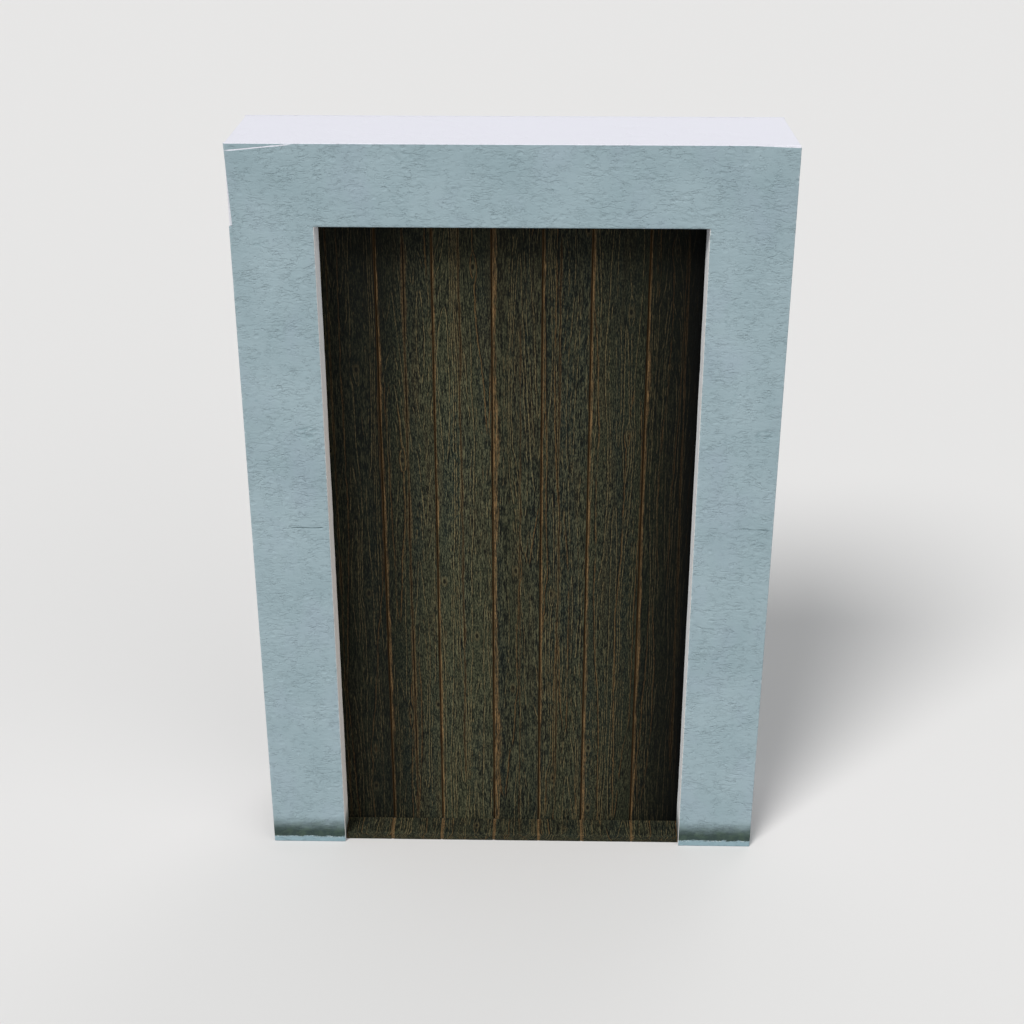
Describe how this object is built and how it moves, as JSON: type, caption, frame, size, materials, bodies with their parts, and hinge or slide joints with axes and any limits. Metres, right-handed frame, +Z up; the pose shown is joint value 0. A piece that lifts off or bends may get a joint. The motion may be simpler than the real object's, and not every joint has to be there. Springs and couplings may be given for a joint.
{
  "type": "wooden plank door in a plastered wall surround",
  "caption": "Ledged and braced plank door on strap hinges, set back in a thick plastered doorway of piers and a lintel.",
  "frame": {"origin": "on the ground, in the middle of the wall's width and thickness", "axes": "+Z up, +X to the right of someone facing the front, the front faces -Y"},
  "size_m": [1.5, 0.358, 2.21],
  "materials": {
    "white_plaster": "matte",
    "blue_plaster": "matte",
    "dark_timber": "matte",
    "wrought_iron": "matte"
  },
  "bodies": {
    "surround": {"left_pier": "white_plaster", "right_pier": "white_plaster", "lintel": "white_plaster", "left_front_plaster": "blue_plaster", "right_front_plaster": "blue_plaster", "head_front_plaster": "blue_plaster", "left_back_plaster": "blue_plaster", "right_back_plaster": "blue_plaster", "head_back_plaster": "blue_plaster", "threshold": "dark_timber", "upper_hook": "wrought_iron", "lower_hook": "wrought_iron"},
    "leaf": {"board_1": "dark_timber", "board_2": "dark_timber", "board_3": "dark_timber", "board_4": "dark_timber", "board_5": "dark_timber", "board_6": "dark_timber", "board_7": "dark_timber", "top_ledge": "dark_timber", "middle_ledge": "dark_timber", "bottom_ledge": "dark_timber", "upper_brace": "dark_timber", "lower_brace": "dark_timber", "upper_strap": "wrought_iron", "lower_strap": "wrought_iron"}
  },
  "joints": [
    {"name": "leaf_hinge", "type": "hinge", "parent": "surround", "child": "leaf", "pos_m": [-0.539, -0.007, 0], "axis": [0, 0, 1], "range_deg": [0, 90]}
  ]
}
